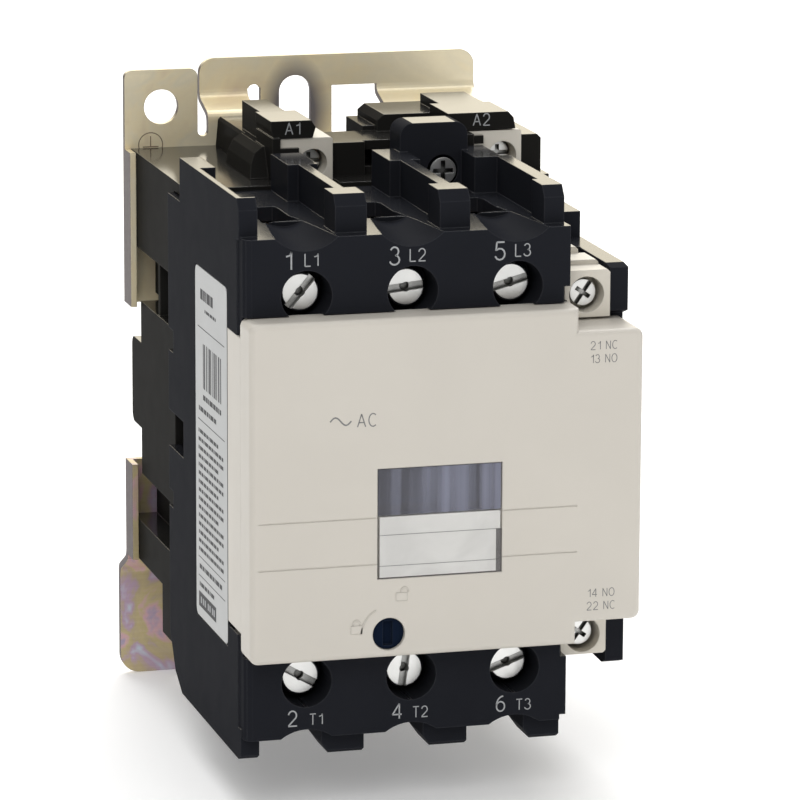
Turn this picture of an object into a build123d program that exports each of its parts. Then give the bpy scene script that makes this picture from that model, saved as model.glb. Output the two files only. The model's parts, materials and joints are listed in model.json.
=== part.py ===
"""Three-pole DIN-rail contactor with an AC coil and a side auxiliary block.

Frame: +X to the right as seen from the front, +Y to the rear, +Z up, in mm.
The origin lies on the rear mounting plane, mid width, on the rail's centre line.
"""

import os

from build123d import *

os.makedirs("parts", exist_ok=True)

# ---- overall size -------------------------------------------------------------
WIDTH = 75.0
HEIGHT = 127.0
DEPTH = 114.0
SIDE = WIDTH / 2
PLATE_TOP = 64.0
PLATE_BOTTOM = PLATE_TOP - HEIGHT

# ---- depths, from the rear mounting plane forwards (-Y) ---------------------------
COVER_FRONT = -DEPTH
COVER_SEAM = -106.5
TERMINAL_FRONT = -108.5
ARC_COVER_REAR = -96.5
HOUSING_FRONT = -103.8
DECK_FRONT = -67.5
DECK_REAR = -64.5
HOUSING_REAR = -57.8
SKIRT_REAR = -47.5

# ---- mounting plates and rail ----------------------------------------------------
SHEET = 1.5
RAIL_DEPTH = 7.5
RAIL_GAP = 32.4
PLATE_FRONT = -RAIL_DEPTH - SHEET
FLANGE_FRONT = -14.0
HOOK_FRONT = -6.3
HOOK_REAR = -4.8
HOOK_REACH = 14.8
CLIP_TRAVEL = 5.0

# ---- power poles -----------------------------------------------------------------
POLE_PITCH = 20.1
POLE_X = [-25.5, -25.5 + POLE_PITCH, -25.5 + 2 * POLE_PITCH]
POWER_RIGHT = 24.9
POWER_TOP = 46.7
POWER_BOTTOM = -47.7
BARRIER_TOP = 53.7
FOOT_BOTTOM = -52.1
LINE_SCREW_Z = 35.8
LOAD_SCREW_Z = -37.0
WELL_RADIUS = 4.8
BAR_FRONT = -88.0
BAR_REAR = -86.0
TIP_HEIGHT = 1.2
TIP_Z = 13.5
CAGE_TRAVEL = 3.0
CARRIER_TRAVEL = 5.8
MAGNET_GAP = 0.3

# ---- magnet --------------------------------------------------------------------------
BASE_HALF = 36.2
BASE_TOP = 47.5
BASE_REAR = PLATE_FRONT
CORE_HALF = 28.0
CORE_Z = 11.0
CORE_TIP = -43.9
ARMATURE_TIP = CORE_TIP - CARRIER_TRAVEL - MAGNET_GAP
CARRIER_FRONT = -104.8
COIL_BAYS = ((-16.4, -5.8), (21.2, 32.2))
COIL_SCREW_X = (-9.7, 28.4)
COIL_SCREW_Z = 50.5

# ---- auxiliary block -----------------------------------------------------------------
AUX_LEFT = POWER_RIGHT
AUX_FRONT = -104.0
AUX_REAR = -74.0
AUX_TOP = 38.0
AUX_SCREW_X = 29.4
AUX_SCREW_Z = 32.7
AUX_TRAVEL = 3.8
AUX_STRIPS = (-88.6, -85.4)
AUX_BRIDGES = (-93.5, -84.3)


def save(piece, label):
    """Label a finished piece and write its STEP file."""
    piece.part.label = label
    export_step(piece.part, f"parts/{label}.step")


def block(x, y, z, mode=Mode.ADD):
    """A box from three (low, high) pairs."""
    with Locations(((x[0] + x[1]) / 2, (y[0] + y[1]) / 2, (z[0] + z[1]) / 2)):
        Box(abs(x[1] - x[0]), abs(y[1] - y[0]), abs(z[1] - z[0]), mode=mode)


def slab_yz(points, x, mode=Mode.ADD):
    """Extrude a (y, z) outline from x[0] to x[1]."""
    with BuildSketch(Plane.YZ.offset(x[0])) as profile:
        with BuildLine():
            Polyline(*points, close=True)
        make_face()
    extrude(profile.sketch, amount=x[1] - x[0], mode=mode)


def slab_xz(points, y, mode=Mode.ADD):
    """Extrude an (x, z) outline from y[0], the front, to y[1], the rear."""
    with BuildSketch(Plane.XZ.offset(-y[1])) as profile:
        with BuildLine():
            Polyline(*points, close=True)
        make_face()
    extrude(profile.sketch, amount=y[1] - y[0], mode=mode)


def slab_xy(points, z, mode=Mode.ADD):
    """Extrude an (x, y) outline from z[0] to z[1]."""
    with BuildSketch(Plane.XY.offset(z[0])) as profile:
        with BuildLine():
            Polyline(*points, close=True)
        make_face()
    extrude(profile.sketch, amount=z[1] - z[0], mode=mode)


def bore_y(x, z, radius, y, mode=Mode.SUBTRACT):
    """A round hole or pin along Y at (x, z), from y[0] to y[1]."""
    with BuildSketch(Plane.XZ.offset(-y[1])) as profile:
        with Locations((x, z)):
            Circle(radius)
    extrude(profile.sketch, amount=y[1] - y[0], mode=mode)


def rounded_xz(x, z, radius, y, mode=Mode.ADD):
    """A plate with rounded corners, facing along Y."""
    with BuildSketch(Plane.XZ.offset(-y[1])) as profile:
        with Locations(((x[0] + x[1]) / 2, (z[0] + z[1]) / 2)):
            RectangleRounded(x[1] - x[0], z[1] - z[0], radius)
    extrude(profile.sketch, amount=y[1] - y[0], mode=mode)


def coil_spring(start, direction, length, radius, wire, turns):
    """Sweep an open-ended helical spring from start along direction into the current part."""
    first = [start[i] + direction[i] * wire / 2 for i in range(3)]
    height = length - wire
    path = Helix(pitch=height / turns, height=height, radius=radius, center=first,
                 direction=direction, mode=Mode.PRIVATE)
    with BuildSketch(Plane(origin=path @ 0, z_dir=path % 0)) as profile:
        Circle(wire / 2)
    sweep(profile.sketch, path=path, is_frenet=True)


# ---- mounting plates -----------------------------------------------------------------
def bend(before, corner, after, reach=1.3, steps=4):
    """Points of a rounded bend that replaces one corner of an outline."""
    start, end = ([c + reach * (p - c) / max(abs(q - k) for q, k in zip(near, corner))
                   for p, c in zip(near, corner)] for near in (before, after))
    curve = []
    for step in range(steps + 1):
        t = step / steps
        curve.append(tuple((1 - t) ** 2 * a + 2 * t * (1 - t) * c + t * t * b
                           for a, c, b in zip(start, corner, end)))
    return curve


def joggle(ends, bends, x):
    """A strip that steps from the main plane of the plate back to the wall plane."""
    forward, back = bends
    drop = 0.8 if back > forward else -0.8
    front = [(PLATE_FRONT, ends[0]), (PLATE_FRONT, forward), (-SHEET, back), (-SHEET, ends[1])]
    rear = [(0, ends[1]), (0, back - drop), (-RAIL_DEPTH, forward - drop), (-RAIL_DEPTH, ends[0])]
    outline = []
    for side in (front, rear):
        outline += [side[0], *bend(*side[:3]), *bend(*side[1:]), side[3]]
    slab_yz(outline, x)


def upper_mounting_plate():
    """Upper half of the pressed plate: earth tab, joggled hook part and rail hooks."""
    edge = RAIL_GAP / 2
    tab_right = -22.5
    middle_left = -7.7
    middle_right = 7.2
    right_joggle = 16.6
    rear = (-SHEET, 0)
    main = (PLATE_FRONT, -RAIL_DEPTH)
    with BuildPart() as plate:
        block((-SIDE, SIDE), main, (edge, 46.0))
        block((-SIDE, -10.4), main, (45.0, 50.6))
        block((right_joggle, 37.2), main, (45.0, 48.4))
        rounded_xz((-SIDE, tab_right), (40.0, 63.2), 1.6, main)
        for left, right in ((-20.4, -10.4), (right_joggle, 37.2)):
            joggle((47.0, 60.0), (54.0, 56.3), (left, right))
        rounded_xz((-20.4, 37.2), (57.6, PLATE_TOP), 3.1, rear)
        block((-20.4, -10.4), rear, (57.6, 61.0))
        block((right_joggle, 37.2), rear, (57.6, 61.0))
        block((middle_left, middle_right), rear, (38.0, 61.0))
        with BuildSketch(Plane.XZ):
            with Locations((-0.5, 52.0)):
                SlotOverall(15.8, 6.6, rotation=90)
        extrude(amount=SHEET + 1, both=True, mode=Mode.SUBTRACT)
        bore_y(-30.0, 55.7, 3.5, (PLATE_FRONT - 1, -RAIL_DEPTH + 1))
        bore_y(-9.05, 57.0, 1.35, (-SHEET - 1, 1))
        block((-22.5, -20.4), (PLATE_FRONT - 1, 1), (50.5, 66.0), mode=Mode.SUBTRACT)
        bore_y(-21.45, 50.5, 1.05, (PLATE_FRONT - 1, -RAIL_DEPTH + 1))
        for side in (-1, 1):
            outer = side * SIDE
            inner = side * (SIDE - 1.2)
            flange_x = (min(outer, inner), max(outer, inner))
            block(flange_x, (FLANGE_FRONT, PLATE_FRONT), (edge, 47.4))
            hook_x = (side * 20.0 - 6.0, side * 20.0 + 6.0)
            block(hook_x, (-RAIL_DEPTH, HOOK_REAR), (19.2, 20.7))
            block(hook_x, (HOOK_FRONT, HOOK_REAR), (HOOK_REACH, 20.7))
        for x in (-26.0, 26.0):
            bore_y(x, 38.0, 1.7, (PLATE_FRONT - 1, -RAIL_DEPTH + 1))
    save(plate, "upper_mounting_plate")


def lower_mounting_plate():
    """Lower half of the pressed plate: two joggled feet, clip guides and spring lug."""
    edge = -RAIL_GAP / 2
    rear = (-SHEET, 0)
    main = (PLATE_FRONT, -RAIL_DEPTH)
    foot_inner = 13.4
    with BuildPart() as plate:
        block((-SIDE, SIDE), main, (-37.0, edge))
        block((-13.0, 13.0), main, (-53.0, -36.0))
        for side in (-1, 1):
            low = min(side * foot_inner, side * SIDE)
            high = max(side * foot_inner, side * SIDE)
            joggle((-34.0, -50.0), (-37.2, -41.0), (low, high))
            rounded_xz((low, high), (PLATE_BOTTOM, -42.0), 4.0, rear)
            outer = side * SIDE
            inner = side * (SIDE - 1.2)
            block((min(outer, inner), max(outer, inner)), (FLANGE_FRONT, PLATE_FRONT), (-36.0, edge))
            with BuildSketch(Plane.XZ):
                with Locations((side * 20.0, -57.0)):
                    SlotOverall(20.0, 6.5, rotation=90)
            extrude(amount=SHEET + 1, both=True, mode=Mode.SUBTRACT)
            guide = (min(side * 11.4, side * 13.0), max(side * 11.4, side * 13.0))
            cap = (min(side * 8.6, side * 13.0), max(side * 8.6, side * 13.0))
            block(guide, (-RAIL_DEPTH, -3.3), (-42.0, -33.0))
            block(cap, (-4.5, -3.3), (-42.0, -33.0))
        block((-2.8, 2.8), (-RAIL_DEPTH, -3.4), (-51.0, -49.6))
        for x in (-26.0, 26.0):
            bore_y(x, -30.0, 1.7, (PLATE_FRONT - 1, -RAIL_DEPTH + 1))
    save(plate, "lower_mounting_plate")


def rail_clip():
    """Spring-loaded slider that grips the lower lip of the rail."""
    with BuildPart() as clip:
        depth = (HOOK_FRONT, HOOK_REAR)
        block((-24.0, 24.0), depth, (-26.0, -HOOK_REACH))
        block((-11.0, 11.0), depth, (-60.5, -25.0))
        block((-3.6, 3.6), (-8.0, -4.0), (-51.3, -34.0), mode=Mode.SUBTRACT)
        rounded_xz((-3.0, 3.0), (-59.0, -55.0), 1.0, (-8.0, -4.0), mode=Mode.SUBTRACT)
        top_edges = clip.edges().filter_by(Axis.X).group_by(Axis.Z)[-1]
        chamfer(top_edges.sort_by(Axis.Y)[0], length=0.6)
    save(clip, "rail_clip")
    with BuildPart() as spring:
        coil_spring((0, -5.55, -49.6), (0, 0, 1), 15.6, 1.45, 0.5, 7)
    save(spring, "rail_clip_spring")


# ---- magnet housing, coil and core -----------------------------------------------------
def coil_terminal_housing():
    """Housing on top of the magnet base, round the coil terminals: duct, caps, panel and ridge."""
    floor = BASE_TOP
    with BuildPart() as housing:
        block((-14.0, BASE_HALF), (-49.0, -12.0), (floor, floor + 1.5))
        slab_xz([(-18.9, floor), (-18.4, 52.8), (-17.9, 53.3), (-13.4, 53.3), (-12.9, 52.8),
                 (-12.9, floor)], (-30.5, BASE_REAR - 0.3))
        slab_xz([(-21.8, floor), (-21.3, 50.2), (-20.3, 52.2), (-18.6, 53.3), (-13.4, 53.3),
                 (-12.9, 52.8), (-12.9, floor)], (-50.2, -30.0))
        slab_yz([(-51.0, 54.0), (-46.6, 54.0), (-50.1, floor + 0.2), (-51.0, floor + 0.2)], (-23.0, -12.0),
                mode=Mode.SUBTRACT)
        block((-18.1, -16.5), (-53.2, -39.8), (floor + 0.4, 55.8))
        block((-16.6, -12.8), (-53.2, -52.2), (52.2, 53.8))
        block((-17.0, -12.0), (-40.2, -24.0), (floor, 58.8))
        slab_xz([(-18.2, 59.0), (-10.2, 59.0), (-9.3, 57.6), (-9.9, 55.6), (-17.6, 55.6),
                 (-18.2, 57.2)], (-52.4, -39.8))
        block((-5.5, 1.1), (-50.2, -37.0), (floor, 54.0))
        block((1.0, 9.5), (-48.6, -37.0), (52.2, 54.0))
        slab_xz([(6.6, floor), (6.6, 56.2), (8.0, 57.3), (19.5, 57.3), (19.5, floor)], (-38.8, -24.0))
        block((4.0, 6.8), (-37.4, -25.0), (floor, 55.0))
        block((19.0, 21.1), (-57.2, -39.4), (floor, 55.8))
        block((21.0, 24.2), (-53.2, -52.2), (53.2, 54.8))
        block((9.6, 17.2), (-54.4, -44.0), (floor, 53.4))
        bore_y(13.4, 49.8, 1.5, (-55.0, -45.0))
        slab_xz([(17.2, 59.2), (29.4, 59.2), (30.5, 58.0), (30.9, 55.8), (17.2, 55.8)], (-52.4, -39.4))
        slab_xz([(19.0, floor), (19.0, 59.2), (28.0, 59.2), (32.3, 55.0), (32.3, floor)], (-39.8, -26.0))
        slab_xz([(32.2, floor), (32.2, 54.5), (35.4, 54.5), (BASE_HALF, 53.7), (BASE_HALF, floor)],
                (-52.0, -14.0))
        for left, right in COIL_BAYS:
            block((left, right), (-56.0, -40.0), (floor - 1, 51.0), mode=Mode.SUBTRACT)
            block((left, right), (-52.1, -40.0), (50.0, 55.5), mode=Mode.SUBTRACT)
    save(housing, "coil_terminal_housing")


def magnet_base():
    """Dark grey rear housing that holds the fixed core and the coil."""
    front = HOUSING_REAR + 0.2
    profile = [(front, BASE_TOP), (BASE_REAR, BASE_TOP), (BASE_REAR, 18.0), (-17.0, 18.0),
               (-17.0, 9.5), (-8.5, 9.5), (-8.5, -8.0), (-17.0, -8.0), (-17.0, -17.3),
               (BASE_REAR, -17.3), (BASE_REAR, -35.8), (-35.0, -35.8), (-35.0, -45.6), (front, -45.6)]
    with BuildPart() as base:
        slab_yz(profile, (-BASE_HALF, BASE_HALF))
        fillet(base.edges().filter_by(Axis.X).group_by(Axis.Y)[-1], radius=2.0)
        for side in (-1, 1):
            pocket = (min(side * 31.4, side * 40), max(side * 31.4, side * 40))
            rib = (min(side * 31.0, side * 35.8), max(side * 31.0, side * 35.8))
            block(pocket, (-42.0, 0), (18.0, 28.5), mode=Mode.SUBTRACT)
            block(pocket, (-42.0, 0), (-27.5, -17.3), mode=Mode.SUBTRACT)
            block(rib, (-32.6, -31.2), (18.0, 28.5))
            skirt = (min(side * 34.2, side * 40), max(side * 34.2, side * 40))
            block(skirt, (front - 1, SKIRT_REAR + 0.3), (-60.0, 45.5), mode=Mode.SUBTRACT)
        block((-29.5, 29.5), (front - 1, -20.0), (-24.5, 24.5), mode=Mode.SUBTRACT)
        block((-33.0, 33.0), (front - 1, -13.0), (31.0, 44.0), mode=Mode.SUBTRACT)
        for left, right in COIL_BAYS:
            block((left, right), (front - 1, -40.0), (44.7, 55.5), mode=Mode.SUBTRACT)
        for x in (-26.0, 26.0):
            bore_y(x, 38.0, 1.45, (-12.9, BASE_REAR + 1))
            bore_y(x, -30.0, 1.45, (-18.0, BASE_REAR + 1))
        bore_y(13.4, 49.8, 1.5, (front - 1, -44.0))
        for x in (-15.45, 4.65):
            bore_y(x, -42.0, 1.7, (front - 1, -34.0))
    save(base, "magnet_base")


def fixed_core():
    """E-shaped laminated core with rubber cushions and two shading rings."""
    yoke = (-29.5, -21.5)
    with BuildPart() as core:
        block((-CORE_HALF, CORE_HALF), yoke, (-CORE_Z, CORE_Z))
        for left, right in ((-CORE_HALF, -19.0), (-8.0, 8.0), (19.0, CORE_HALF)):
            block((left, right), (CORE_TIP, -29.0), (-CORE_Z, CORE_Z))
        for x in (-23.5, 23.5):
            rounded_xz((x - 3.2, x + 3.2), (-8.2, 8.2), 0.8, (CORE_TIP - 1, CORE_TIP + 1.4),
                       mode=Mode.SUBTRACT)
            block((x - 2.0, x + 2.0), (CORE_TIP, CORE_TIP + 1.5), (-7.0, 7.0))
    save(core, "fixed_core")
    with BuildPart() as rings:
        for x in (-23.5, 23.5):
            rounded_xz((x - 3.2, x + 3.2), (-8.2, 8.2), 0.8, (CORE_TIP + 0.1, CORE_TIP + 1.4))
            block((x - 2.0, x + 2.0), (CORE_TIP - 1, CORE_TIP + 2), (-7.0, 7.0), mode=Mode.SUBTRACT)
    save(rings, "shading_rings")
    with BuildPart() as cushions:
        for x in (-20.0, 20.0):
            rounded_xz((x - 6.0, x + 6.0), (-9.0, 9.0), 1.5, (-21.5, -20.0))
    save(cushions, "core_cushions")


def coil():
    """Moulded bobbin, its copper winding, and the clamp plates of A1 and A2."""
    low = -43.5
    high = -29.5
    with BuildPart() as bobbin:
        block((-9.6, 9.6), (low, high), (-12.6, 12.6))
        for y in (low, high - 1.2):
            rounded_xz((-18.2, 18.2), (-20.5, 20.5), 2.0, (y, y + 1.2))
        block((-8.3, 8.3), (low - 1, high + 1), (-11.3, 11.3), mode=Mode.SUBTRACT)
    save(bobbin, "coil_bobbin")
    with BuildPart() as winding:
        rounded_xz((-17.0, 17.0), (-19.4, 19.4), 5.0, (low + 1.25, high - 1.25))
        block((-9.6, 9.6), (low, high), (-12.6, 12.6), mode=Mode.SUBTRACT)
    save(winding, "coil_winding")
    with BuildPart() as plates:
        for x in COIL_SCREW_X:
            block((x - 3.2, x + 3.2), (-42.7, -41.5), (45.4, 53.6))
    save(plates, "coil_terminal_plates")


def coil_terminals():
    """Two cream terminal blocks of the coil with their clamp screws."""
    for name, (left, right), x in zip(("a1", "a2"), COIL_BAYS, COIL_SCREW_X):
        with BuildPart() as terminal:
            block((left, right), (-52.0, -40.0), (44.7, 55.5))
            fillet(terminal.edges().filter_by(Axis.Y), radius=0.5)
            bore_y(x, COIL_SCREW_Z, 2.8, (-53.0, -46.0))
            block((x - 3.3, x + 3.3), (-46.1, -41.5), (45.2, 53.8), mode=Mode.SUBTRACT)
        save(terminal, f"coil_terminal_block_{name}")
    with BuildPart() as screws:
        for x in COIL_SCREW_X:
            z = COIL_SCREW_Z
            bore_y(x, z, 2.3, (-48.2, -45.8), mode=Mode.ADD)
            bore_y(x, z, 1.45, (-46.0, -42.7), mode=Mode.ADD)
            block((x - 3, x + 3), (-49.0, -47.4), (z - 0.4, z + 0.4), mode=Mode.SUBTRACT)
            block((x - 0.4, x + 0.4), (-49.0, -47.4), (z - 1.6, z + 1.6), mode=Mode.SUBTRACT)
    save(screws, "coil_terminal_screws")


def armature():
    """Moving E-shaped armature and the pin that hangs it in the contact carrier."""
    yoke = (-61.9, -54.0)
    with BuildPart() as moving:
        block((-CORE_HALF, CORE_HALF), yoke, (-CORE_Z, CORE_Z))
        for left, right in ((-CORE_HALF, -19.0), (-8.0, 8.0), (19.0, CORE_HALF)):
            block((left, right), (yoke[1] - 0.5, ARMATURE_TIP), (-CORE_Z, CORE_Z))
        with BuildSketch(Plane.XY.offset(-20)):
            with Locations((0, -58.0)):
                Circle(1.55)
        extrude(amount=40, mode=Mode.SUBTRACT)
    save(moving, "armature")
    with BuildPart() as pin:
        with BuildSketch(Plane.XY.offset(-14.6)):
            with Locations((0, -58.0)):
                Circle(1.5)
        extrude(amount=29.2)
        chamfer(pin.edges().filter_by(GeomType.CIRCLE), length=0.3)
    save(pin, "armature_pin")
    with BuildPart() as springs:
        for z in (-18.0, 18.0):
            coil_spring((0, -62.0, z), (0, 1, 0), 18.5, 2.4, 0.7, 7)
    save(springs, "return_springs")


# ---- contact carrier and bridges ---------------------------------------------------------
def contact_carrier():
    """Moulded carrier: a rear plate, three windowed posts and the status flag."""
    plate = (-64.2, -62.0)
    with BuildPart() as carrier:
        block((-28.5, 27.0), plate, (-10.0, 10.0))
        block((-4.0, 4.0), plate, (-21.5, 21.5))
        for side in (-1, 1):
            lug = (min(side * 11.3, side * 14.6), max(side * 11.3, side * 14.6))
            block((-4.0, 4.0), (plate[0], -55.5), lug)
        with BuildSketch(Plane.XY.offset(-20)):
            with Locations((0, -58.0)):
                Circle(1.5)
        extrude(amount=40, mode=Mode.SUBTRACT)
        for x in POLE_X:
            block((x - 5.0, x + 5.0), (CARRIER_FRONT, plate[0] + 0.3), (-6.0, 6.0))
            block((x - 3.3, x + 3.3), (CARRIER_FRONT + 1.3, -95.3), (-8.0, 8.0), mode=Mode.SUBTRACT)
        block((-12.0, 9.0), (-109.4, -107.8), (-3.9, 3.2))
        block((POLE_X[1] - 4.0, POLE_X[1] + 4.0), (-108.0, CARRIER_FRONT + 0.1), (-3.0, 3.0))
        for x in (-9.4, -5.2, 1.6, 5.6):
            block((x - 0.9, x + 0.9), (-110.2, -109.2), (-3.9, 3.2))
    save(carrier, "contact_carrier")


def moving_contacts():
    """One bridge contact with two silver tips per pole, and the contact springs."""
    bar = (-97.4, -95.6)
    for number, x in enumerate(POLE_X, start=1):
        with BuildPart() as bridge:
            block((x - 3.0, x + 3.0), bar, (-16.5, 16.5))
            for z in (-TIP_Z, TIP_Z):
                block((x - 2.8, x + 2.8), (bar[1], bar[1] + 1.2), (z - 2.5, z + 2.5))
        save(bridge, f"bridge_contact_{number}")
    with BuildPart() as springs:
        for x in POLE_X:
            coil_spring((x, CARRIER_FRONT + 1.3, 0), (0, 1, 0), 6.1, 2.1, 0.6, 3)
    save(springs, "contact_springs")


# ---- power terminals -------------------------------------------------------------------------
def fixed_contact(x, side, label):
    """A copper bar from the terminal cage to the contact tip."""
    near = side * 9.5
    far = side * 43.2
    tip = side * TIP_Z
    with BuildPart() as contact:
        block((x - 3.0, x + 3.0), (BAR_FRONT, BAR_REAR), (min(near, far), max(near, far)))
        block((x - 3.0, x + 3.0), (BAR_FRONT - TIP_HEIGHT, BAR_FRONT), (tip - 3.0, tip + 3.0))
    save(contact, label)


def screw_height(side):
    """Height of the screw row on the line (upper) or load (lower) side."""
    return LINE_SCREW_Z if side > 0 else LOAD_SCREW_Z


def terminal_cage(x, side, label):
    """A plated clamp cage: a threaded front plate and a V-shaped wire saddle."""
    outer = [(x - 5.6, -95.0), (x + 5.6, -95.0), (x + 5.6, -85.5), (x, -73.6), (x - 5.6, -85.5)]
    inner = [(x - 4.6, -92.0), (x + 4.6, -92.0), (x + 4.6, -85.8), (x, -75.5), (x - 4.6, -85.8)]
    z = (min(side * 30.4, side * 43.6), max(side * 30.4, side * 43.6))
    with BuildPart() as cage:
        slab_xy(outer, z)
        slab_xy(inner, (z[0] - 1, z[1] + 1), mode=Mode.SUBTRACT)
        bore_y(x, screw_height(side), 3.05, (-96.0, -91.0))
    save(cage, label)


def terminal_screw(x, side, slot_angle, label):
    """A slotted clamp screw whose tip bears on the contact bar."""
    z = screw_height(side)
    head = (-103.6, -99.9)
    with BuildPart() as screw:
        bore_y(x, z, 3.65, head, mode=Mode.ADD)
        chamfer(screw.edges().filter_by(GeomType.CIRCLE).sort_by(Axis.Y)[0], length=0.35)
        bore_y(x, z, 3.0, (head[1] - 0.1, BAR_FRONT - 0.3), mode=Mode.ADD)
        with BuildSketch(Plane.XZ.offset(-head[0] - 1.3)):
            with Locations((x, z)):
                Rectangle(9.0, 1.5, rotation=slot_angle)
        extrude(amount=3.0, mode=Mode.SUBTRACT)
        bore_y(x, z, 0.9, (head[0] - 1, head[0] + 2.2))
    save(screw, label)


def power_terminals():
    """Contacts, cages and screws of all six power terminals."""
    slot_angles = {1: (50, 6, 15), -1: (-30, 82, 20)}
    for side, row in ((1, "line"), (-1, "load")):
        for number, x in enumerate(POLE_X, start=1):
            fixed_contact(x, side, f"{row}_contact_{number}")
            terminal_cage(x, side, f"{row}_cage_{number}")
            terminal_screw(x, side, slot_angles[side][number - 1], f"{row}_screw_{number}")


def arc_plates():
    """Stacks of steel splitter plates above and below each pair of contacts."""
    for row, side in (("upper", 1), ("lower", -1)):
        with BuildPart() as plates:
            for x in POLE_X:
                for step in range(4):
                    z = side * (17.6 + 2.3 * step)
                    block((x - 8.1, x + 8.1), (-103.6, -92.0), (z - 0.4, z + 0.4))
                    block((x - 2.6, x + 2.6), (-97.0, -91.0), (z - 1, z + 1), mode=Mode.SUBTRACT)
        save(plates, f"arc_plates_{row}")


# ---- pole housing -----------------------------------------------------------------------------
def barrier(x_post, x_wall, x_tab, side):
    """A phase barrier with a rear post, a thin wall and a bevelled front tab."""
    root = side * (POWER_TOP - 1.0)
    top = BARRIER_TOP if side > 0 else FOOT_BOTTOM + 0.6
    block(x_post, (-71.0, HOUSING_REAR), (min(root, top), max(root, top)))
    block(x_wall, (-99.0, -70.0), (min(root, top), max(root, top)))
    end_tab(x_tab, -97.2, side)


def end_tab(x, rear, side):
    """The bevelled tab at the front end of a barrier."""
    root = side * (POWER_TOP - 1.0)
    if side > 0:
        tab = [(-105.2, 46.2), (-105.2, 51.6), (-103.6, BARRIER_TOP), (rear, BARRIER_TOP), (rear, root),
               (-103.8, root), (-103.8, 46.2)]
    else:
        tab = [(-105.8, -46.0), (-105.8, -51.2), (-104.2, FOOT_BOTTOM), (-96.5, FOOT_BOTTOM),
               (-93.0, root), (-103.8, root), (-103.8, -46.0)]
    slab_yz(tab, x)


def foot_corner(x_tab):
    """Bevel the lower left corner of a front foot."""
    corner = [(x_tab[0] - 1, FOOT_BOTTOM - 1), (x_tab[0] + 2.3, FOOT_BOTTOM - 1), (x_tab[0] - 0.1, -49.6),
              (x_tab[0] - 1, -49.6)]
    slab_xz(corner, (-107.0, -89.0), mode=Mode.SUBTRACT)


def side_wall():
    """The left outer wall: thick beside the terminals, thin where it rises above the floor."""
    front = HOUSING_FRONT
    floor = POWER_TOP - 0.5
    lower = [(front, floor), (HOUSING_REAR, floor), (HOUSING_REAR, 45.2), (SKIRT_REAR, 45.2),
             (SKIRT_REAR, -42.0), (-52.0, -49.0), (HOUSING_REAR, FOOT_BOTTOM), (front + 1.0, FOOT_BOTTOM),
             (front, -51.2)]
    slab_yz(lower, (-SIDE, -34.5))
    rise = [(front, floor - 1), (front, 51.6), (front + 0.8, BARRIER_TOP), (HOUSING_REAR, BARRIER_TOP),
            (HOUSING_REAR, floor - 1)]
    slab_yz(rise, (-SIDE, -SIDE + 1.1))
    block((-SIDE, -33.4), (-70.3, HOUSING_REAR), (floor - 1, BARRIER_TOP))


def terminal_row(side):
    """Raised front block with screw wells, wire scoops and cage pockets, one row."""
    edge = 32.3 if side > 0 else 32.0
    end = POWER_TOP if side > 0 else POWER_BOTTOM
    low = min(side * edge, end)
    high = max(side * edge, end)
    step = side * 35.4
    collar = side * 28.4
    outline = [(-SIDE + 0.3, HOUSING_FRONT), (-SIDE + 0.3, TERMINAL_FRONT + 1.4),
               (-SIDE + 0.7, TERMINAL_FRONT + 0.4), (-SIDE + 1.7, TERMINAL_FRONT),
               (POWER_RIGHT - 1.3, TERMINAL_FRONT), (POWER_RIGHT - 1.3, HOUSING_FRONT)]
    slab_xy(outline, (low, high))
    block((POWER_RIGHT - 2.0, POWER_RIGHT - 0.1), (TERMINAL_FRONT, HOUSING_FRONT),
          (min(step, side * POWER_TOP), max(step, side * POWER_TOP)))
    block((-SIDE + 0.3, POWER_RIGHT - 0.1), (COVER_SEAM, HOUSING_FRONT),
          (min(collar, side * edge), max(collar, side * edge)))
    for x in POLE_X:
        z = screw_height(side)
        pocket = (min(side * 29.0, side * 43.9), max(side * 29.0, side * 43.9))
        block((x - 6.1, x + 6.1), (-98.6, -73.0), pocket, mode=Mode.SUBTRACT)
        entry = (min(side * 43.0, side * 50.0), max(side * 43.0, side * 50.0))
        outline = [(x - 4.2, -91.7), (x + 3.4, -89.9), (x + 2.4, -85.7), (x + 2.4, -77.0),
                   (x + 1.8, -75.4), (x - 1.6, -75.4), (x - 3.6, -82.5)]
        slab_xy(outline, entry, mode=Mode.SUBTRACT)
        bar = (min(side * 26.0, side * 30.0), max(side * 26.0, side * 30.0))
        block((x - 3.0, x + 3.0), (BAR_FRONT, BAR_REAR), bar, mode=Mode.SUBTRACT)
        bore_y(x, z, WELL_RADIUS, (TERMINAL_FRONT - 1, -99.6))
        bore_y(x, z, 3.3, (-100.0, -98.0))
        scoop = 52.6 if side > 0 else -54.4
        with Locations(Location((x, -100.4, scoop), (90, 0, 0))):
            Cone(bottom_radius=6.9, top_radius=8.4, height=18.0, mode=Mode.SUBTRACT)


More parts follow.
